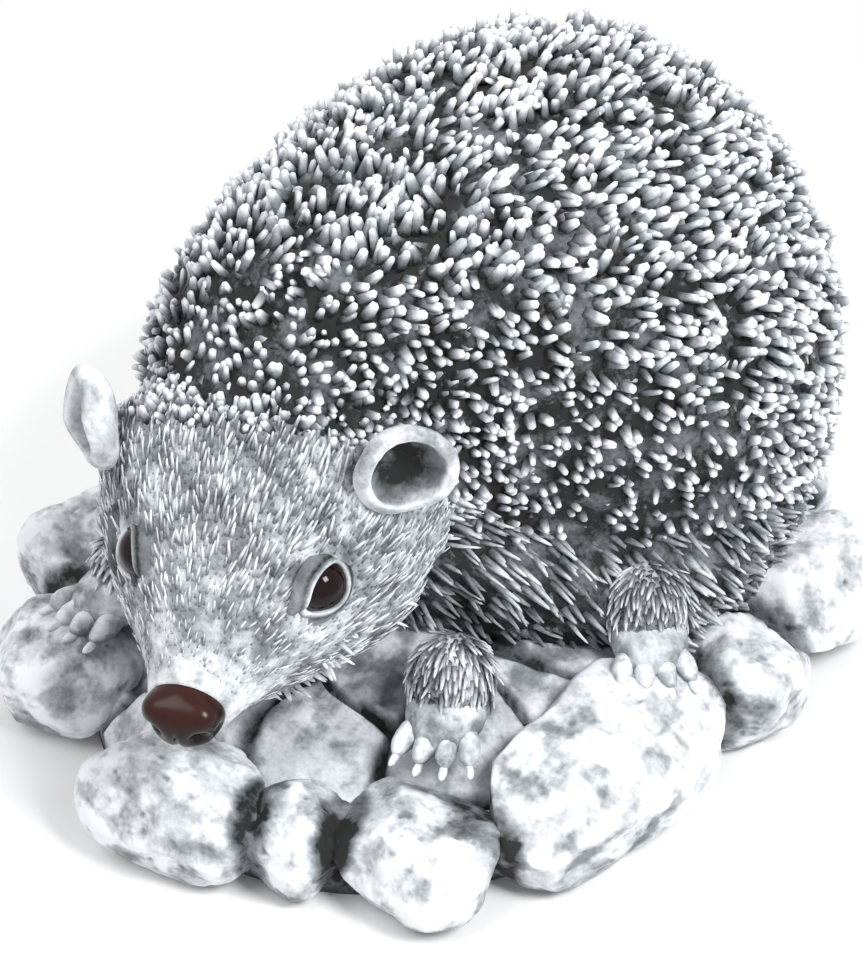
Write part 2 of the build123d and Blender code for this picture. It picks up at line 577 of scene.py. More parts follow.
@dataclass(frozen=True)
class Lacquer:
    """Hard gloss paint with faint brush waves, coloured by a tone that carries painted light and shade.

    Attributes:
        name: the material's name.
        shaded_tint: colour at low tone: painted shade on the lower side and in the nose's pits, and the
            darker side of the brush waves.
        lit_tint: colour at high tone: painted light on the upper side, and the lighter side of the brush
            waves.
        roughness: of the paint's own surface.
        wave: size of its unevenness in millimetres.
    """

    name: str
    shaded_tint: Colour
    lit_tint: Colour
    roughness: float
    wave: float

    def made(self) -> bpy.types.Material:
        """Builds the material: two colours mixed by tone and noise, with a gloss."""
        bench = Bench(self.name)
        waves = bench.noise(self.wave, 2.0, 0.5)
        bench.coloured(bench.swayed(bench.tone, waves, 0.2), ((0.0, self.shaded_tint), (1.0, self.lit_tint)))
        return bench.surfaced(waves, 0.12, 0.3, self.roughness, 0.22)


def seen_directly(tree: bpy.types.NodeTree) -> bpy.types.NodeSocket:
    """Adds a value of 1 for rays from the camera, a reflection or a clear body, else 0.

    Args:
        tree: the nodes of a material or of the world.

    Returns:
        The value.
    """
    path = tree.nodes.new("ShaderNodeLightPath")
    value = path.outputs["Is Camera Ray"]
    for word in ("Is Glossy Ray", "Is Transmission Ray"):
        larger = tree.nodes.new("ShaderNodeMath")
        larger.operation = "MAXIMUM"
        tree.links.new(value, larger.inputs[0])
        tree.links.new(path.outputs[word], larger.inputs[1])
        value = larger.outputs[0]
    return value


ROCK = AntiquedStone(
    name="antiqued_rock", middle=(0.26, 0.28, 0.30), top=(0.82, 0.85, 0.89),
    grit=1.1, patch=9.0, patch_depth=0.17, patch_edge=(0.36, 0.56),
)
# Painted light and shade: the lit tint lies on the upper side of the eye and the nose as a painted sheen, the
# shaded tint below and in the nose's pits.
EYE_PAINT = Lacquer("eye_lacquer", (0.002, 0.0006, 0.0006), (0.012, 0.001, 0.001), 0.05, 6.0)
NOSE_PAINT = Lacquer("nose_lacquer", (0.003, 0.0015, 0.0015), (0.034, 0.008, 0.006), 0.24, 3.0)


@dataclass
class Finishes:
    """Every material of the figurine, built once."""

    stone: bpy.types.Material = field(default_factory=lambda: AntiquedStone().made())
    rocks: bpy.types.Material = field(default_factory=ROCK.made)
    eye: bpy.types.Material = field(default_factory=EYE_PAINT.made)
    nose: bpy.types.Material = field(default_factory=NOSE_PAINT.made)


@dataclass
class HeadForm:
    """The head's frame and its outline from the neck to the snout.

    Attributes:
        place: middle between the ears, on the head's axis.
        turn: how far the head turns to its left, in degrees.
        droop: how far the snout points down, in degrees.
        stations: forward place, half width, rise of the crown and drop of the jaw.
    """

    place: tuple[float, float, float] = (-8.0, -47.5, 64.0)
    turn: float = 21.0
    droop: float = 15.0
    stations: tuple[tuple[float, float, float, float], ...] = (
        (-20.0, 30.0, 27.0, 27.0),
        (-8.0, 34.0, 31.0, 30.0),
        (3.0, 35.0, 31.0, 30.5),
        (13.0, 32.5, 28.0, 28.5),
        (22.0, 27.0, 23.5, 25.0),
        (30.0, 20.5, 18.0, 21.0),
        (37.0, 14.5, 13.5, 16.0),
        (43.0, 10.6, 10.4, 11.8),
        (48.5, 8.4, 8.2, 8.6),
    )

    def matrix(self) -> Array:
        """The head's axes as columns: side, back and up."""
        return turned(self.turn, self.droop)

    def to_world(self, local: Array) -> Array:
        """Places given as side, forward and up, in the part's frame."""
        flipped = local * np.array([1.0, -1.0, 1.0])
        return np.array(self.place) + flipped @ self.matrix().T

    def to_local(self, world: Array) -> Array:
        """Places in the part's frame as side, forward and up."""
        return ((world - np.array(self.place)) @ self.matrix()) * np.array([1.0, -1.0, 1.0])

    def section(self, forward: Array) -> tuple[Array, Array, Array]:
        """Half width, rise of the crown and drop of the jaw at places along the axis."""
        table = np.array(self.stations)
        return tuple(smooth_curve(table[:, 0], table[:, column], forward) for column in (1, 2, 3))

    def placed(self, local: Array, centre: Array, aim: Array) -> Array:
        """Points of a piece in the part's frame.

        Args:
            local: points in the piece's own frame.
            centre: its middle, as side, back and up on the head.
            aim: matrix that turns it on the head.

        Returns:
            The points.
        """
        return np.array(self.place) + (centre + local @ aim.T) @ self.matrix().T

    def drawn_in(self, places: Array, tuck: float, share: Array) -> Array:
        """Moves points outside the head's skin towards it, square to its axis.

        Args:
            places: points in the part's frame.
            tuck: where they end, as a share of the way from the axis to the skin.
            share: how much of the move is made at each point.

        Returns:
            The moved points.
        """
        local = self.to_local(places)
        width, rise, drop = self.section(local[..., 1])
        height = np.where(local[..., 2] > 0.0, rise, drop)
        reach = np.hypot(local[..., 0] / width, local[..., 2] / height)
        factor = 1.0 + share * (np.minimum(tuck / np.maximum(reach, 1e-6), 1.0) - 1.0)
        return self.to_world(local * np.stack([factor, np.ones_like(factor), factor], axis=-1))

    def surface(self, forward: Array, angle: Array) -> Array:
        """Skin of the head: a section at forward, with its angle from the crown.

        The section is an ellipse with its own rise above the axis and drop below it. The
        sizes between stations follow a smooth curve through them.

        Args:
            forward: how far along the axis.
            angle: 0 at the crown, growing towards the left side.

        Returns:
            Places in the part's frame.
        """
        width, rise, drop = self.section(forward)
        up = np.cos(angle)
        height = np.where(up > 0.0, rise, drop)
        return self.to_world(np.stack([width * np.sin(angle), forward, height * up], axis=-1))


def smooth_curve(places: Array, values: Array, wanted: Array) -> Array:
    """Cubic curve through points, its slope at each the mean of the slopes beside it.

    Args:
        places: where the values are, rising.
        values: one for each place.
        wanted: where the curve is read.

    Returns:
        The curve's values.
    """
    slopes = np.gradient(values, places)
    index = np.clip(np.searchsorted(places, wanted) - 1, 0, len(places) - 2)
    span = places[index + 1] - places[index]
    s = np.clip((wanted - places[index]) / span, 0.0, 1.0)
    return (
        (2 * s**3 - 3 * s**2 + 1) * values[index]
        + (s**3 - 2 * s**2 + s) * span * slopes[index]
        + (3 * s**2 - 2 * s**3) * values[index + 1]
        + (s**3 - s**2) * span * slopes[index + 1]
    )


@dataclass
class BodyForm:
    """The egg that the coat and the flanks lie on.

    Attributes:
        centre: middle of the egg.
        turn: of its axis about the upright, in degrees.
        pitch: how far the rump lies lower, in degrees.
        radii: across, along and up.
        blunt: how much fuller the rump is than the chest.
        belly: power that squares the section's lower half.
        neck_start: how far behind the hairline the coat starts to slope towards the head.
        tuck: how far inside the head's skin the neck ends, as a share.
    """

    centre: tuple[float, float, float] = (-2.25, 5.9, 63.4)
    turn: float = -10.3
    pitch: float = 5.8
    radii: tuple[float, float, float] = (61.5, 94.0, 72.0)
    blunt: float = 0.36
    belly: float = 0.34
    neck_start: float = 36.0
    tuck: float = 0.93

    def matrix(self) -> Array:
        """The egg's axes as columns."""
        return turned(self.turn, -self.pitch)

    def skin(self, along: Array, angle: Array, head: HeadForm) -> Array:
        """Skin of the body: an egg drawn in towards the neck in front of the hairline.

        The radius is the root of one less along squared, times one plus blunt times along.
        Towards the hairline a point moves to the tucked section of the head at its place.

        Args:
            along: -1 at the chest to 1 at the rump.
            angle: 0 at the back, growing towards the left side.
            head: gives the hairline.

        Returns:
            Places in the part's frame.
        """
        across, length, height = self.radii
        girth = np.sqrt(np.maximum(1.0 - along**2, 0.0)) * (1.0 + self.blunt * along)
        power = np.where(np.cos(angle) < 0.0, self.belly, 1.0)
        wide = np.sign(np.sin(angle)) * np.abs(np.sin(angle)) ** power
        local = np.stack([across * girth * wide, length * along, height * girth * np.cos(angle)], axis=-1)
        places = np.array(self.centre) + local @ self.matrix().T
        ahead = np.minimum(hairline_distance(places, head), head.to_local(places)[..., 1] + HAIRLINE_BACK)
        low = ramp(28.0, 44.0, places[..., 2])
        share = ramp(-self.neck_start * (0.35 + 0.65 * low), 2.0, ahead)
        return head.drawn_in(places, self.tuck, share)


def hairline_distance(points: Array, head: HeadForm) -> Array:
    """How far points lie in front of the line where spines end and the face's fur starts.

    The line is where a plane meets the skin. It passes just behind the ears and leans
    forwards over the brow.

    Args:
        points: places in the part's frame.
        head: gives the plane's place.

    Returns:
        Distances, positive on the face's side.
    """
    local = head.to_local(points)
    lean = np.radians(HAIRLINE_LEAN)
    return (local[..., 1] + HAIRLINE_BACK) * np.cos(lean) - (local[..., 2] - HAIRLINE_RISE) * np.sin(lean)


def skirt_height(points: Array) -> Array:
    """Height of the coat's lower edge: it rises towards the chest and wavers a little."""
    return SKIRT_HEIGHT + 0.10 * np.maximum(-points[..., 1], 0.0) + 2.5 * noise(points, 14.0, 5)


def surface_frame(
    function: Surface, along: Array, around: Array, step: tuple[float, float]
) -> tuple[Array, Array, Array]:
    """Places, normals and the unit way along a two-parameter surface.

    The slopes are differences over a small step each way. The normals point outwards where
    the first parameter runs towards the rump, and inwards where it runs towards the snout.

    Args:
        function: gives places from the two parameters.
        along: first parameter.
        around: second parameter.
        step: half of the differences' spans.

    Returns:
        Places, normals and ways along.
    """
    places = function(along, around)
    way = function(along + step[0], around) - function(along - step[0], around)
    side = function(along, around + step[1]) - function(along, around - step[1])
    return places, unit(np.cross(side, way)), unit(way)


def staggered(
    function: Surface, spans: tuple[float, float, float, float], spacing: tuple[float, float], seed: int
) -> tuple[Array, Array]:
    """Parameters of places spread evenly over a surface, in staggered rows with some jitter.

    Args:
        function: gives places from the two parameters.
        spans: first and last value of each parameter.
        spacing: distance between rows and between places in a row, in millimetres.
        seed: picks the jitter.

    Returns:
        The two parameters of every place.
    """
    rng = np.random.default_rng(seed)
    low, high, start, end = spans
    fine = np.linspace(low, high, 600)
    middle = np.full_like(fine, 0.25 * (start + end))
    run = function(fine, middle)
    length = np.concatenate([[0.0], np.cumsum(np.linalg.norm(np.diff(run, axis=0), axis=1))])
    rows = np.interp(np.arange(0.5 * spacing[0], length[-1], spacing[0]), length, fine)
    row_gap = np.gradient(rows)
    along, around = [], []
    for number, row in enumerate(rows):
        turn = np.linspace(start, end, 121)
        ring = function(np.full_like(turn, row), turn)
        arc = np.concatenate([[0.0], np.cumsum(np.linalg.norm(np.diff(ring, axis=0), axis=1))])
        places = np.arange((number % 2) * 0.5 * spacing[1], arc[-1], spacing[1])
        places = places + rng.uniform(-0.35, 0.35, len(places)) * spacing[1]
        around.append(np.interp(places, arc, turn))
        along.append(row + rng.uniform(-0.4, 0.4, len(places)) * row_gap[number])
    return np.concatenate(along), np.concatenate(around)


@dataclass
class Coat:
    """The animal's body: skin, spines above the skirt and fur below it.

    Attributes:
        finishes: the materials.
        body: the egg.
        head: the head's form, for the hairline.
        spine: form of one spine.
        fur: form of one stroke of flank fur.
    """

    finishes: Finishes
    body: BodyForm
    head: HeadForm
    spine: Tuft = Tuft(length=5.8, root=1.35, tip=0.8, flatness=0.8, curl=0.10, dark=-0.1, light=1.0)
    fur: Tuft = Tuft(length=7.5, root=0.85, tip=0.3, flatness=0.8, curl=0.16, sides=4, dark=0.24, light=0.95)

    def skin(self, along: Array, angle: Array) -> Array:
        """The body's skin."""
        return self.body.skin(along, angle, self.head)

    def build_skin(self) -> None:
        """Lumpy skin under the spines, cut off inside the bed: noise along the normals."""
        along = np.sin(np.linspace(-0.4985 * np.pi, 0.4985 * np.pi, 240))
        angle = TAU * np.arange(300) / 300
        grid_along, grid_angle = np.meshgrid(along, angle, indexing="ij")
        places, normals, _ = surface_frame(self.skin, grid_along, grid_angle, BODY_STEP)
        lumps = rough(places, 4.2, 3, 11)
        places = places + normals * (0.9 * lumps)[..., None]
        places[..., 2] = np.maximum(places[..., 2], BED_TOP - 2.0)
        # The skin's low tone is partly the wash and partly painted shade under the spines and the fur.
        mesh = closed_grid(places[0].mean(axis=0), places, places[-1].mean(axis=0), 0.08 + 0.22 * lumps)
        mesh.piece("body_skin", self.finishes.stone, STONE_SLOT, "torso", "spine_coat")

    def build_spines(self) -> None:
        """Spines over the coat, leaning back and down, each a bent tapered rod."""
        for side, spans in ((Side.LEFT, (0.0, 0.85 * np.pi)), (Side.RIGHT, (-0.85 * np.pi, 0.0))):
            seed = 21 + side.value
            rng = np.random.default_rng(seed)
            along, angle = staggered(self.skin, (-0.93, 0.997, *spans), (2.75, 2.45), seed)
            places, normals, ways = surface_frame(self.skin, along, angle, BODY_STEP)
            keep = hairline_distance(places, self.head) < 1.5 + 2.0 * noise(places, 7.0, 3)
            keep &= places[:, 2] > skirt_height(places)
            places, normals, ways = places[keep], normals[keep], ways[keep]
            count = len(places)
            flank = ramp(0.9, 0.1, normals[:, 2])[:, None]
            clump = np.stack([noise(places, 6.5, 60 + axis) for axis in range(3)], axis=-1)
            flow = ways + 0.45 * flank * down_along(normals) + 1.1 * clump
            flow = unit(flow + 0.45 * rng.normal(size=(count, 3)))
            direction = risen(flow, normals, rng.normal(34.0, 15.0, count))
            near = ramp(-50.0, 0.0, hairline_distance(places, self.head))
            stretch = rng.uniform(0.65, 1.2, count) * (1.0 - 0.4 * near)
            girth = rng.uniform(0.7, 1.35, count) * (1.0 - 0.12 * near)
            shade = rng.normal(0.0, 0.14, count)
            mesh = self.spine.planted(places - normals * 0.6, direction, normals, stretch, girth, shade)
            mesh.piece(f"{side.word}_spines", self.finishes.stone, STONE_SLOT)

    def build_crown(self) -> None:
        """Short knobbly spines over the crown of the head, up to the hairline."""
        forward, angle = staggered(self.head.surface, (-20.0, 26.0, -1.9, 1.9), (2.3, 2.1), 25)
        rng = np.random.default_rng(26)
        places, inward, ways = surface_frame(self.head.surface, forward, angle, HEAD_STEP)
        keep = hairline_distance(places, self.head) < 1.5 + 2.5 * noise(places, 6.0, 3)
        keep &= self.head.to_local(places)[:, 2] > 2.0
        places, normals, ways = places[keep], -inward[keep], ways[keep]
        count = len(places)
        flow = unit(-ways + 0.7 * rng.normal(size=(count, 3)))
        direction = risen(flow, normals, rng.normal(42.0, 15.0, count))
        mesh = self.spine.planted(
            places - normals * 0.6, direction, normals, rng.uniform(0.5, 0.8, count),
            rng.uniform(0.7, 1.05, count), rng.normal(-0.02, 0.12, count),
        )
        mesh.piece("crown_spines", self.finishes.stone, STONE_SLOT)

    def build_fur(self) -> None:
        """Fur strokes on the flanks below the skirt and on the neck behind the cheeks."""
        along, angle = staggered(self.skin, (-0.9, 0.995, -np.pi, np.pi), (3.4, 1.55), 31)
        rng = np.random.default_rng(32)
        places, normals, ways = surface_frame(self.skin, along, angle, BODY_STEP)
        furry = places[:, 2] < skirt_height(places) + 2.0
        neck = hairline_distance(places, self.head) > -1.0
        furry |= neck & (self.head.to_local(places)[:, 2] < 4.0)
        furry &= places[:, 2] > BED_TOP - 2.0
        places, normals, ways = places[furry], normals[furry], ways[furry]
        count = len(places)
        flow = unit(ways + 0.75 * down_along(normals) + 0.22 * rng.normal(size=(count, 3)))
        direction = risen(flow, normals, rng.normal(10.0, 5.0, count))
        mesh = self.fur.planted(
            places, direction, normals, rng.uniform(0.7, 1.3, count), rng.uniform(0.75, 1.3, count),
            rng.normal(0.0, 0.12, count),
        )
        mesh.piece("flank_fur", self.finishes.stone, STONE_SLOT)

    def build(self) -> None:
        """Builds every piece of the coat."""
        self.build_skin()
        self.build_spines()
        self.build_crown()
        self.build_fur()


@dataclass
class Head:
    """The face: skin, fur, ears, eyes with their lids, and the nose.

    Attributes:
        finishes: the materials.
        form: the head's frame and outline.
        eye: side, forward and up of an eye's middle.
        eye_radius: of the round eye.
        slimmer: how much narrower the right cheek is, as a share.
        ear: side, forward and up of an ear's middle.
        ear_turns: how far the left and the right ear open outwards, in degrees.
        ear_tilt: how far it opens upwards, in degrees.
        ear_radius: of its rim.
        ear_wall: half of the rim's thickness.
        fur: form of one stroke of the face's fur.
    """

    finishes: Finishes
    form: HeadForm
    eye: tuple[float, float, float] = (20.0, 22.3, 11.6)
    eye_radius: float = 5.6
    slimmer: float = 0.10
    ear: tuple[float, float, float] = (34.5, 4.0, 26.5)
    ear_turns: tuple[float, float] = (40.0, 62.0)
    ear_tilt: float = 20.0
    ear_radius: float = 10.4
    ear_wall: float = 1.45
    fur: Tuft = Tuft(length=4.4, root=0.5, tip=0.22, flatness=0.62, curl=0.14, sides=4, dark=0.32, light=0.98)

    def skin(self, forward: Array, angle: Array) -> Array:
        """Head skin with hollows round the eyes, a brow over them and a ruff behind the cheeks."""
        places = self.form.surface(forward, angle)
        local = self.form.to_local(places)
        outward = unit(local * np.array([1.0, 0.25, 1.0]))
        shift = np.zeros(places.shape[:-1])
        for side in Side:
            centre = self.eye_place(side)
            brow = centre + np.array([side.value * 0.5, -4.0, 7.5])
            cheek = np.array([side.value * 26.0, 12.0, -10.0])
            for middle, width, rise in ((centre, 6.5, -1.6), (brow, 6.0, 1.4), (cheek, 13.0, 2.0)):
                shift = shift + rise * bell(np.linalg.norm(local - middle, axis=-1), width)
        low = ramp(0.35, 1.2, np.abs(np.mod(angle + np.pi, TAU) - np.pi))
        shift = shift + 2.6 * low * bell(forward + 6.0, 4.5)
        slim = np.where(local[..., 0] < 0.0, 1.0 - self.slimmer * bell(forward - 18.0, 13.0), 1.0)
        local = local * np.stack([slim, np.ones_like(slim), np.ones_like(slim)], axis=-1)
        return self.form.to_world(local + outward * shift[..., None])

    def eye_place(self, side: Side) -> Array:
        """Side, forward and up of an eye's middle, the right one set in with its cheek."""
        set_in = 1.0 - 1.9 * self.slimmer * (side is Side.RIGHT)
        return np.array([side.value * self.eye[0] * set_in, self.eye[1], self.eye[2]])

    def build_skin(self) -> None:
        """The face's skin with fine carved unevenness."""
        forward = np.linspace(-20.0, 48.5, 210)
        angle = TAU * np.arange(260) / 260
        grid_forward, grid_angle = np.meshgrid(forward, angle, indexing="ij")
        places, normals, _ = surface_frame(self.skin, grid_forward, grid_angle, HEAD_STEP)
        grain = rough(places, 2.4, 3, 41)
        places = places - normals * (0.22 * grain)[..., None]
        tone = 0.50 + 0.3 * grain + 0.25 * ramp(30.0, 46.0, grid_forward)
        first = self.form.to_world(np.array([0.0, 49.0, 0.0]))
        last = self.form.to_world(np.array([0.0, -20.5, 0.0]))
        mesh = closed_grid(first, places[::-1], last, tone[::-1])
        mesh.piece("face_skin", self.finishes.stone, STONE_SLOT, "head")

    def build_fur(self) -> None:
        """Fur strokes that run back from the nose, shorter towards it."""
        forward, angle = staggered(self.skin, (-14.0, 47.0, -np.pi, np.pi), (2.0, 1.0), 51)
        rng = np.random.default_rng(52)
        places, normals, ways = surface_frame(self.skin, forward, angle, HEAD_STEP)
        normals = -normals
        local = self.form.to_local(places)
        clear = np.ones(len(places), dtype=bool)
        for side in Side:
            clear &= np.linalg.norm(local - self.eye_place(side), axis=1) > self.eye_radius + 1.2
        clear &= hairline_distance(places, self.form) > -3.0
        places, normals, ways, forward = places[clear], normals[clear], ways[clear], forward[clear]
        count = len(places)
        flow = unit(-ways + 0.16 * rng.normal(size=(count, 3)))
        short = ramp(22.0, 47.0, forward)
        direction = risen(flow, normals, rng.normal(4.0, 2.0, count) * (1.0 - 0.7 * short))
        stretch = rng.uniform(0.75, 1.25, count) * (1.0 - 0.42 * short)
        girth = rng.uniform(0.75, 1.2, count) * (1.0 - 0.42 * short)
        shade = rng.normal(0.05, 0.1, count) + 0.3 * short
        mesh = self.fur.planted(places - normals * 0.1, direction, normals, stretch, girth, shade)
        mesh.piece("face_fur", self.finishes.stone, STONE_SLOT)

    def build_ear(self, side: Side) -> None:
        """One ear: a cup whose wall thickens to a rounded rim, a little higher than wide.

        The profile runs from the back's middle out to the rim, over it and down into the cup.

        Args:
            side: which ear.
        """
        radius = self.ear_radius
        turn = np.linspace(0.0, 1.0, 22)
        back_r = radius * np.sin(0.5 * np.pi * turn)
        back_z = -radius * 0.72 * np.cos(0.5 * np.pi * turn)
        rim = np.linspace(0.0, np.pi, 9)[1:]
        wall = self.ear_wall
        bowl_depth = 0.62 * radius
        rim_r = radius - wall + wall * np.cos(rim)
        rim_z = wall * np.sin(rim)
        bowl = np.linspace(0.0, 1.0, 20)[1:-1]
        bowl_r = (radius - 2 * wall) * np.cos(0.5 * np.pi * bowl)
        bowl_z = -bowl_depth * np.sin(0.5 * np.pi * bowl)
        profile_r = np.concatenate([back_r[1:], rim_r, bowl_r])
        profile_z = np.concatenate([back_z[1:], rim_z, bowl_z])
        angle = TAU * np.arange(90) / 90
        spread_r, spread_a = np.meshgrid(profile_r, angle, indexing="ij")
        spread_z = np.broadcast_to(profile_z[:, None], spread_r.shape)
        outline = 1.0 + 0.10 * np.cos(spread_a - 0.5 * np.pi) ** 3 + 0.03 * np.cos(3 * spread_a)
        local = np.stack(
            [spread_r * outline * np.cos(spread_a), spread_r * outline * np.sin(spread_a), spread_z], axis=-1
        )
        inner = -0.75 * side.value * np.cos(spread_a) - 0.66 * np.sin(spread_a)
        local[..., 2] -= 4.5 * ramp(-0.1, 1.0, inner) * (spread_r / radius) ** 2
        centre = np.array([side.value * self.ear[0], -self.ear[1], self.ear[2]])
        aim = turned(side.value * self.ear_turns[side is Side.RIGHT], 90.0 - self.ear_tilt)
        places = self.form.placed(local, centre, aim)
        grain = rough(places, 1.8, 3, 61)
        inside = np.arange(len(profile_r)) > len(back_r) + 3
        depth = np.where(inside, -profile_z, 0.0)[:, None]
        tone = 0.72 + 0.2 * grain - 0.115 * depth * np.ones_like(spread_r)
        poles = self.form.placed(np.array([[0.0, 0.0, back_z[0]], [0.0, 0.0, -bowl_depth]]), centre, aim)
        mesh = closed_grid(poles[0], places[:, ::-1], poles[1], tone[:, ::-1])
        mesh.points[:-2] += mesh.normals()[:-2] * (0.16 * grain[:, ::-1].ravel())[:, None]
        mesh.piece(f"{side.word}_ear_cup", self.finishes.stone, STONE_SLOT, f"{side.word}_ear")

    def build_lids(self, side: Side) -> None:
        """The rim round one eye: a tube along an almond on the face, with a low inner corner.

        Args:
            side: which eye.
        """
        angle = TAU * np.arange(72) / 72
        inner, outer = np.maximum(np.cos(angle), 0.0) ** 6, np.maximum(-np.cos(angle), 0.0) ** 6
        almond = 1.0 + 0.20 * inner + 0.06 * outer
        edge = np.stack([4.9 * almond * np.cos(angle), 3.9 * np.sin(angle)], axis=-1)
        rest = np.sqrt(np.maximum(self.eye_radius**2 - np.sum(edge**2, axis=-1), 0.3))
        spread = np.array([0.90, 0.97, 1.06, 1.16, 1.28, 1.45, 1.75, 1.5, 1.1])
        above = np.array([0.00, 0.55, 0.85, 0.60, 0.00, -0.5, -2.2, -3.0, -2.0])
        shades = np.array([0.30, 0.62, 0.80, 0.50, 0.12, 0.34, 0.40, 0.3, 0.1])
        local = np.concatenate([
            edge[:, None] * spread[None, :, None],
            (rest[:, None] + above[None])[..., None],
        ], axis=-1)
        spin = np.radians(180.0 * (side is Side.LEFT) + side.value * 28.0)
        about = np.array([[np.cos(spin), -np.sin(spin), 0], [np.sin(spin), np.cos(spin), 0], [0, 0, 1.0]])
        local = local @ about.T
        aim = turned(side.value * 58.0, 62.0)
        centre = self.eye_place(side) * np.array([1.0, -1.0, 1.0])
        places = self.form.placed(local, centre, aim)
        count, steps = places.shape[:2]
        index = np.arange(count * steps).reshape(count, steps)
        ahead = np.roll(index, -1, axis=0)
        quads = np.stack([index, ahead, np.roll(ahead, -1, axis=1), np.roll(index, -1, axis=1)], axis=-1)
        mesh = Mesh(places.reshape(-1, 3), [quads.reshape(-1, 4)], np.tile(shades, count)).outward()
        mesh.piece(f"{side.word}_eyelids", self.finishes.stone, STONE_SLOT)

    def build_nose(self) -> None:
        """The nose: a wide ball with two raised lobes, nostril pits and a groove between.

        Bell curves about chosen directions raise the lobes and sink the pits.
        """
        way = ball(90, 120)
        radius = np.ones(way.shape[:-1])
        for sign in (-1.0, 1.0):
            lobe, pit, curl = (0.72, 0.55, 0.45), (0.62, -0.02, 0.80), (0.95, -0.20, 0.30)
            for spot, width, rise in ((lobe, 0.42, 0.19), (pit, 0.21, -0.34), (curl, 0.22, -0.18)):
                middle = unit(np.array(spot) * np.array([sign, 1.0, 1.0]))
                radius += rise * bell(np.arccos(np.clip(way @ middle, -1.0, 1.0)), width)
        groove = bell(way[..., 0], 0.10) * ramp(0.2, 0.8, way[..., 2]) * ramp(0.5, -0.2, way[..., 1])
        radius -= 0.07 * groove
        local = way * radius[..., None] * np.array([7.9, 7.2, 7.0])
        local[..., 2] += 0.5
        aim = turned(0.0, 90.0)
        centre = np.array([0.0, -49.6, 0.6])
        places = self.form.placed(local, centre, aim)
        poles = self.form.placed(np.array([[0.0, 0.0, 7.7], [0.0, 0.0, -6.7]]), centre, aim)
        # Painted light and shade: the tone rises towards the nose's top as a painted highlight and falls in
        # the nostril pits and the groove as painted shade.
        tone = 0.18 + 0.75 * ramp(0.1, 0.8, way[..., 1]) - 0.8 * (1.0 - np.minimum(radius, 1.0))
        mesh = closed_grid(poles[0], places, poles[1], tone)
        mesh.piece("nose_leather", self.finishes.nose, NOSE_SLOT, "nose")

    def build_eye(self, side: Side) -> None:
        """One round eye, its gloss left to the lacquer.

        Args:
            side: which eye.
        """
        way = ball(48, 64)
        centre = self.form.to_world(self.eye_place(side))
        places = centre + way * self.eye_radius
        # Painted light: the tone rises towards the eye's top, so its upper half takes the lit tint as a
        # painted sheen.
        tone = 0.3 + 0.3 * way[..., 2]
        pole = np.array([0.0, 0.0, self.eye_radius])
        mesh = closed_grid(centre + pole, places, centre - pole, tone)
        mesh.piece(f"{side.word}_eyeball", self.finishes.eye, EYE_SLOT, f"{side.word}_eye")

    def build(self) -> None:
        """Builds every piece of the head."""
        self.build_skin()
        self.build_fur()
        self.build_nose()
        for side in Side:
            self.build_ear(side)
            self.build_eye(side)
            self.build_lids(side)


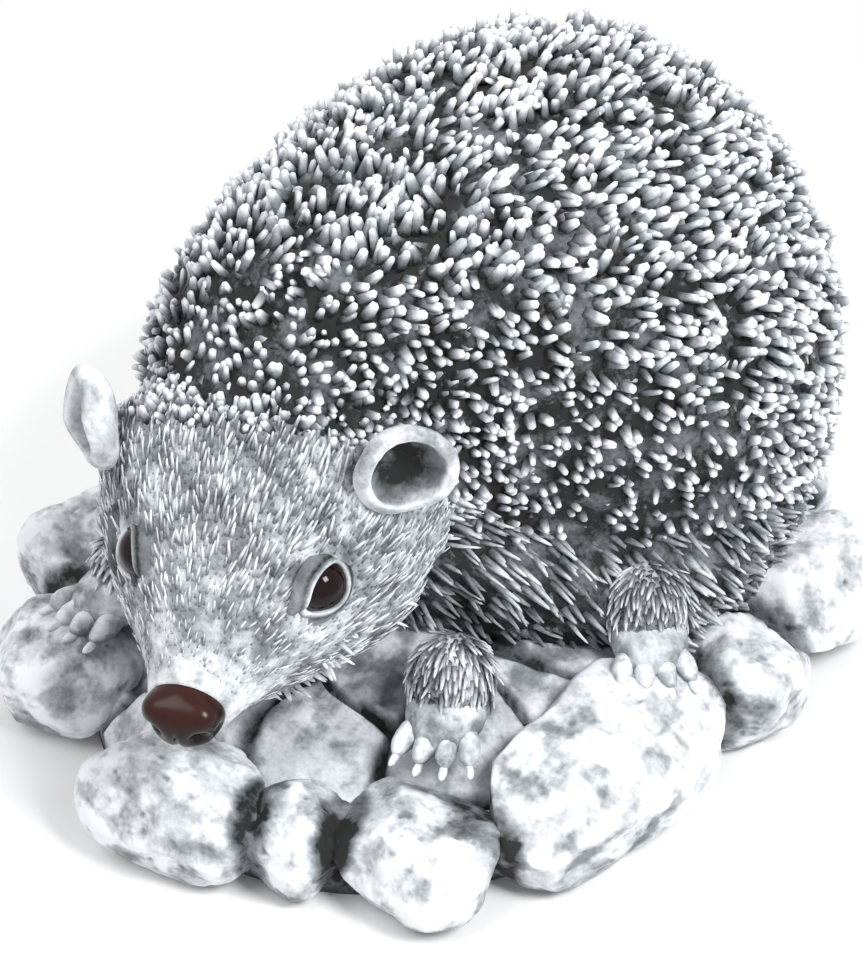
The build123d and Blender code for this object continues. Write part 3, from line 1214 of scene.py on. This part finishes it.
@dataclass
class Paws:
    """Four paws with toes and claws, each in the box of its node.

    Attributes:
        finishes: the materials.
        turns: how far each paw points away from straight ahead, in degrees.
        fur: form of one stroke of the legs' fur.
    """

    finishes: Finishes
    turns: dict[str, float] = field(default_factory=lambda: {
        "left_front_paw": 24.0, "right_front_paw": -12.0, "left_hind_paw": 42.0, "right_hind_paw": -40.0,
    })
    fur: Tuft = Tuft(length=4.6, root=0.75, tip=0.3, flatness=0.7, curl=0.12, sides=4, dark=0.2, light=0.9)

    def blob(self, centre: Array, radii: Array, turn: float, seed: int, shade: float) -> Mesh:
        """An ellipsoid with a little carved unevenness, lighter towards its top as painted light.

        Args:
            centre: its middle.
            radii: across, along and up.
            turn: about the upright, in degrees.
            seed: picks the unevenness.
            shade: its tone.

        Returns:
            The closed mesh.
        """
        way = ball(32, 44)
        spin = turned(turn, 0.0)
        places = centre + (way * radii) @ spin.T
        grain = rough(places, 2.0, 3, seed)
        places = places + ((way / radii) @ spin.T) * (0.35 * grain * radii.min())[..., None]
        # Painted light: the tone rises towards the blob's top.
        tone = shade + 0.3 * grain + 0.25 * way[..., 2]
        pole = np.array([0.0, 0.0, radii[2]])
        return closed_grid(centre + pole, places, centre - pole, tone)

    def leg_fur(self, centre: Array, radii: Array, ahead: Array, number: int) -> Mesh:
        """Fur strokes over a leg, running down and forwards: points of a golden spiral.

        Args:
            centre: middle of the leg's ellipsoid.
            radii: its radii.
            ahead: way that the paw points.
            number: picks the unevenness.

        Returns:
            The strokes.
        """
        rng = np.random.default_rng(300 + number)
        count = 420
        height = 1.0 - 2.0 * (np.arange(count) + 0.5) / count
        spin = np.pi * (1.0 + 5.0**0.5) * np.arange(count)
        flat = np.sqrt(1.0 - height**2)
        way = np.stack([flat * np.cos(spin), flat * np.sin(spin), height], axis=-1)
        normals = unit(way / radii)
        down = np.array([0.0, 0.0, -1.0]) + 0.5 * ahead
        flow = down - normals * np.sum(normals * down, axis=1)[:, None]
        flow = unit(unit(flow) + 0.2 * rng.normal(size=(count, 3)) + 0.12 * normals)
        return self.fur.planted(
            centre + way * radii, flow, normals, rng.uniform(0.7, 1.2, count),
            rng.uniform(0.7, 1.1, count), rng.normal(0.0, 0.1, count),
        )

    def build(self) -> None:
        """Builds each paw: a broad back, four toes in a fan and a claw on each."""
        for number, (node, turn) in enumerate(self.turns.items()):
            middle = node_box(node)[0]
            ahead = turned(turn, 0.0) @ np.array([0.0, -1.0, 0.0])
            side = turned(turn, 0.0) @ np.array([1.0, 0.0, 0.0])
            floor = np.array([middle[0], middle[1], BED_TOP])
            parts = [self.blob(floor - 1.0 * ahead + [0, 0, 4.0], np.array([8.4, 11.0, 6.2]), turn, 70, 0.5)]
            leg = floor - 6.0 * ahead + [0.0, 0.0, 8.5]
            leg_radii = np.array([8.6, 9.0, 10.5])
            parts.append(self.blob(leg, leg_radii, turn, 77, 0.35))
            parts.append(self.leg_fur(leg, leg_radii, ahead, number))
            for toe in range(4):
                spread = (toe - 1.5) / 1.5
                reach = 8.5 - 1.8 * spread**2
                spot = floor + ahead * reach + side * spread * 6.6 + [0.0, 0.0, 2.9]
                heading = turn + 14.0 * spread
                parts.append(self.blob(spot, np.array([2.3, 5.2, 3.0]), heading, 71 + toe, 0.62))
                claw_way = turned(heading, 0.0) @ np.array([0.0, -1.0, 0.0])
                claw = spot + claw_way * 5.4 - [0.0, 0.0, 1.4]
                parts.append(self.blob(claw, np.array([0.85, 2.5, 1.0]), heading, 81 + toe, 0.8))
            Mesh.joined(parts).piece(f"{node}_carving", self.finishes.stone, STONE_SLOT, node)


@dataclass
class Rocks:
    """The bed and the stones round it, each in the box of its node.

    Attributes:
        finishes: the materials.
        squareness: power of the rounded box that a stone starts from.
        apron: how far the bed's low edge reaches out between the stones.
        cuts: how many flat faces a stone is chipped to.
        wash_and_shade_reach: how far the dark wash and the painted shade beside a stone start, over the
            stone's own size.
    """

    finishes: Finishes
    squareness: float = 2.7
    apron: float = 6.0
    cuts: int = 16
    wash_and_shade_reach: float = 1.04

    def stone_nodes(self) -> list[str]:
        """Names of the loose stones' nodes."""
        return sorted(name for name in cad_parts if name.endswith("_stone"))

    def stone(self, node: str, number: int, others: list[tuple[Array, Array]]) -> None:
        """One stone: a rounded box with lumps, chips and pits, flat underneath.

        The radius along a direction is the reciprocal of the p-norm of direction over radii,
        cut by planes, whose edges are rounded by a soft minimum.

        Args:
            node: the node that it stands for.
            number: picks its unevenness.
            others: middle and radii of every other stone, for the dark wash and painted shade beside them.
        """
        centre, radii = node_box(node)
        way = ball(110, 160)
        power = self.squareness
        reach = np.sum(np.abs(way / radii) ** power, axis=-1) ** (-1.0 / power)
        seed = 100 + 10 * number
        rng = np.random.default_rng(seed)
        faces = unit(rng.normal(size=(self.cuts, 3)) + np.array([0.0, 0.0, 0.35]))
        depth = np.linalg.norm(faces * radii, axis=1) * rng.uniform(0.80, 0.96, self.cuts)
        along = np.maximum(way @ faces.T, 0.05)
        cut = np.sort(depth / along, axis=-1)
        edge = ramp(2.6, 0.0, np.minimum(cut[..., 1], reach) - cut[..., 0])
        reach = -1.1 * np.log(np.exp(-reach / 1.1) + np.exp(-cut[..., 0] / 1.1))
        places = centre + way * reach[..., None]
        lumps = rough(places, 13.0, 2, seed)
        chips = rough(places, 3.6, 3, seed + 3)
        pits = np.maximum(noise(places, 1.7, seed + 6) - 0.45, 0.0)
        facets = np.abs(noise(places, 9.0, seed + 7))
        shift = 1.5 * lumps + 0.6 * chips - 0.9 * pits + 0.8 * facets - 0.2
        places = places + way * shift[..., None]
        places[..., 2] = np.maximum(places[..., 2], 0.0)
        near = np.full(places.shape[:-1], 9.0)
        for middle, size in others:
            inside = np.sum(np.abs((places - middle) / size) ** power, axis=-1) ** (1.0 / power)
            near = np.minimum(near, (inside - 1.0) * size.min())
        tone = 0.66 + 0.22 * chips - 0.5 * pits + 0.10 * lumps + 0.16 * edge
        # Darker close to the other stones, partly the wash in the gaps and partly painted contact shade, and
        # darker towards the floor as painted shade.
        tone = tone - 0.6 * ramp(3.0, 0.0, near) - 0.35 * ramp(12.0, 0.0, places[..., 2])
        mesh = closed_grid(places[0].mean(axis=0), places, places[-1].mean(axis=0), tone)
        mesh.piece(f"{node}_face", self.finishes.rocks, STONE_SLOT, node)

    def bed(self) -> None:
        """The bed: a mound of low stones grown together, with cracks between cells.

        The height falls with the fifth power of the distance from the middle, and a crack runs
        where the two nearest of the scattered cell centres are about as far.
        """
        centre, half = node_box("rock_bed")
        top = centre[2] + half[2]
        half = half + np.array([self.apron, self.apron, 0.0])
        share = np.linspace(0.0, 1.0, 150)[1:]
        angle = TAU * np.arange(420) / 420
        grid_s, grid_a = np.meshgrid(share, angle, indexing="ij")
        flat = np.stack([grid_s * half[0] * np.cos(grid_a), grid_s * half[1] * np.sin(grid_a)], axis=-1)
        rng = np.random.default_rng(91)
        seeds = np.stack([rng.uniform(-half[0], half[0], 46), rng.uniform(-half[1], half[1], 46)], axis=-1)
        ground = np.dstack([flat, np.zeros_like(grid_s)])
        warp = np.stack([noise(ground, 12.0, 92), noise(ground, 12.0, 93)], axis=-1)
        gaps = np.sort(np.linalg.norm((flat + 3.0 * warp)[..., None, :] - seeds, axis=-1), axis=-1)
        crack = ramp(3.4, 0.0, gaps[..., 1] - gaps[..., 0])
        height = top - 1.0 - 17.0 * grid_s**5
        places = np.dstack([flat + centre[:2], height])
        lumps = rough(places, 8.0, 3, 94)
        places[..., 2] += 1.5 * lumps - 3.0 * crack
        # The cracks are darker, partly the wash in them and partly painted shade between the grown-together
        # stones.
        tone = 0.62 + 0.25 * lumps - 0.75 * crack
        wall = places[-1].copy()
        wall[:, 2] = 0.0
        rows = np.concatenate([places, wall[None]])
        # The wall's tone falls to 0 at the floor: painted shade towards the bottom.
        tones = np.concatenate([tone, np.zeros((1, len(angle)))])
        first = np.array([centre[0], centre[1], places[0, :, 2].mean()])
        mesh = closed_grid(first, rows, np.array([centre[0], centre[1], 0.0]), tones)
        mesh.piece("bed_rock", self.finishes.rocks, STONE_SLOT, "rock_bed")

    def build(self) -> None:
        """Builds the bed and every stone."""
        self.bed()
        nodes = self.stone_nodes()
        boxes = [node_box(node) for node in nodes]
        forms = [(middle, half * self.wash_and_shade_reach) for middle, half in boxes]
        for number, node in enumerate(nodes):
            self.stone(node, number, forms[:number] + forms[number + 1:])


@dataclass(frozen=True)
class Lamp:
    """A square area lamp that points at the studio's target.

    Attributes:
        name: the lamp's name.
        size: side in millimetres.
        power: in watts.
        azimuth: its place round the target, in degrees.
        elevation: its place above the target, in degrees.
        distance: from the target, in millimetres.
    """

    name: str
    size: float
    power: float
    azimuth: float
    elevation: float
    distance: float


@dataclass
class Studio:
    """Pale floor, soft lamps and the camera at the photograph's angle.

    Attributes:
        azimuth: of the camera, in degrees from straight ahead.
        elevation: of the camera, in degrees.
        distance: from the point that it looks at.
        target: the point that it looks at.
        lens: focal length for a sensor of sensor_width.
        sensor_width: along the picture's long side.
        clips: nearest and farthest distance that the camera sees.
        floor_size: side of the square floor.
        floor_fade: distances between which the floor fades to plain white.
        fill_strength: of the world's light on the object.
        lamps: the lamps.
    """

    azimuth: float = 37.0
    elevation: float = 38.0
    distance: float = 560.0
    target: tuple[float, float, float] = (-1.6, 1.4, 45.0)
    lens: float = 94.3
    sensor_width: float = 36.0
    clips: tuple[float, float] = (10.0, 20000.0)
    floor_size: float = 6000.0
    floor_fade: tuple[float, float] = (130.0, 330.0)
    fill_strength: float = 0.42
    lamps: tuple[Lamp, ...] = (
        Lamp("key_lamp", 260.0, 6.2, 80.0, 48.0, 850.0),
        Lamp("fill_lamp", 600.0, 4.0, -20.0, 55.0, 1000.0),
        Lamp("back_lamp", 500.0, 4.0, 205.0, 45.0, 1000.0),
    )

    def aim(self, thing: bpy.types.Object, azimuth: float, elevation: float, distance: float) -> None:
        """Puts a lamp or camera round the target and points it there.

        Args:
            thing: the lamp or camera.
            azimuth: in degrees.
            elevation: in degrees.
            distance: in millimetres.
        """
        a, e = np.radians(azimuth), np.radians(elevation)
        back = np.array([np.sin(a) * np.cos(e), -np.cos(a) * np.cos(e), np.sin(e)])
        thing.location = tuple((np.array(self.target) + distance * back) * MM)
        thing.rotation_euler = (np.radians(90.0 - elevation), 0.0, a)

    def light(self, lamp: Lamp) -> None:
        """Adds one lamp."""
        data = bpy.data.lights.new(lamp.name, "AREA")
        data.shape = "SQUARE"
        data.size = lamp.size * MM
        data.energy = lamp.power
        thing = bpy.data.objects.new(lamp.name, data)
        bpy.context.scene.collection.objects.link(thing)
        self.aim(thing, lamp.azimuth, lamp.elevation, lamp.distance)

    def floor(self) -> None:
        """A plain pale floor that keeps the object's shadow and looks white elsewhere."""
        half = 0.5 * self.floor_size * MM
        data = bpy.data.meshes.new("floor")
        corners = [(-half, -half, 0.0), (half, -half, 0.0), (half, half, 0.0), (-half, half, 0.0)]
        data.from_pydata(corners, [], [(0, 1, 2, 3)])
        material = bpy.data.materials.new("floor_paper")
        material.use_nodes = True
        shader = material.node_tree.nodes["Principled BSDF"]
        shader.inputs["Base Color"].default_value = (0.93, 0.93, 0.93, 1.0)
        shader.inputs["Roughness"].default_value = 0.9
        self.fade(material.node_tree, shader)
        data.materials.append(material)
        thing = bpy.data.objects.new("floor", data)
        bpy.context.scene.collection.objects.link(thing)

    def fade(self, tree: bpy.types.NodeTree, shader: bpy.types.ShaderNode) -> None:
        """Blends the paper into plain white away from the object, for what sees it only.

        Args:
            tree: the floor's nodes.
            shader: the paper's shader.
        """
        place = tree.nodes.new("ShaderNodeTexCoord")
        distance = tree.nodes.new("ShaderNodeVectorMath")
        distance.operation = "LENGTH"
        tree.links.new(place.outputs["Object"], distance.inputs[0])
        away = tree.nodes.new("ShaderNodeMapRange")
        away.interpolation_type = "SMOOTHSTEP"
        away.inputs["From Min"].default_value = self.floor_fade[0] * MM
        away.inputs["From Max"].default_value = self.floor_fade[1] * MM
        tree.links.new(distance.outputs["Value"], away.inputs["Value"])
        share = tree.nodes.new("ShaderNodeMath")
        share.operation = "MULTIPLY"
        tree.links.new(away.outputs["Result"], share.inputs[0])
        tree.links.new(seen_directly(tree), share.inputs[1])
        white = tree.nodes.new("ShaderNodeEmission")
        white.inputs["Color"].default_value = (1.0, 1.0, 1.0, 1.0)
        mix = tree.nodes.new("ShaderNodeMixShader")
        tree.links.new(share.outputs[0], mix.inputs["Fac"])
        tree.links.new(shader.outputs["BSDF"], mix.inputs[1])
        tree.links.new(white.outputs["Emission"], mix.inputs[2])
        tree.links.new(mix.outputs["Shader"], tree.nodes["Material Output"].inputs["Surface"])

    def world(self) -> None:
        """White to the camera and to reflections, and a soft fill to everything else."""
        world = bpy.data.worlds.new("studio")
        bpy.context.scene.world = world
        world.use_nodes = True
        tree = world.node_tree
        fill = tree.nodes["Background"]
        fill.inputs["Color"].default_value = (1.0, 1.0, 1.0, 1.0)
        fill.inputs["Strength"].default_value = self.fill_strength
        white = tree.nodes.new("ShaderNodeBackground")
        white.inputs["Color"].default_value = (1.0, 1.0, 1.0, 1.0)
        white.inputs["Strength"].default_value = 1.0
        mix = tree.nodes.new("ShaderNodeMixShader")
        tree.links.new(seen_directly(tree), mix.inputs["Fac"])
        tree.links.new(fill.outputs["Background"], mix.inputs[1])
        tree.links.new(white.outputs["Background"], mix.inputs[2])
        tree.links.new(mix.outputs["Shader"], tree.nodes["World Output"].inputs["Surface"])

    def build(self) -> None:
        """Sets the view, the floor, the lamps and the camera."""
        bpy.context.scene.view_settings.view_transform = "Standard"
        self.floor()
        self.world()
        for lamp in self.lamps:
            self.light(lamp)
        data = bpy.data.cameras.new("camera")
        data.lens = self.lens
        data.sensor_width = self.sensor_width
        data.clip_start, data.clip_end = (clip * MM for clip in self.clips)
        thing = bpy.data.objects.new("camera", data)
        bpy.context.scene.collection.objects.link(thing)
        self.aim(thing, self.azimuth, self.elevation, self.distance)
        bpy.context.scene.camera = thing


def main() -> None:
    """Builds the figurine piece by piece."""
    logging.basicConfig(level=logging.INFO, format="%(name)s %(message)s")
    finishes = Finishes()
    head_form = HeadForm()
    Studio().build()
    Rocks(finishes).build()
    Coat(finishes, BodyForm(), head_form).build()
    Head(finishes, head_form).build()
    Paws(finishes).build()


if __name__ == "__main__":
    main()
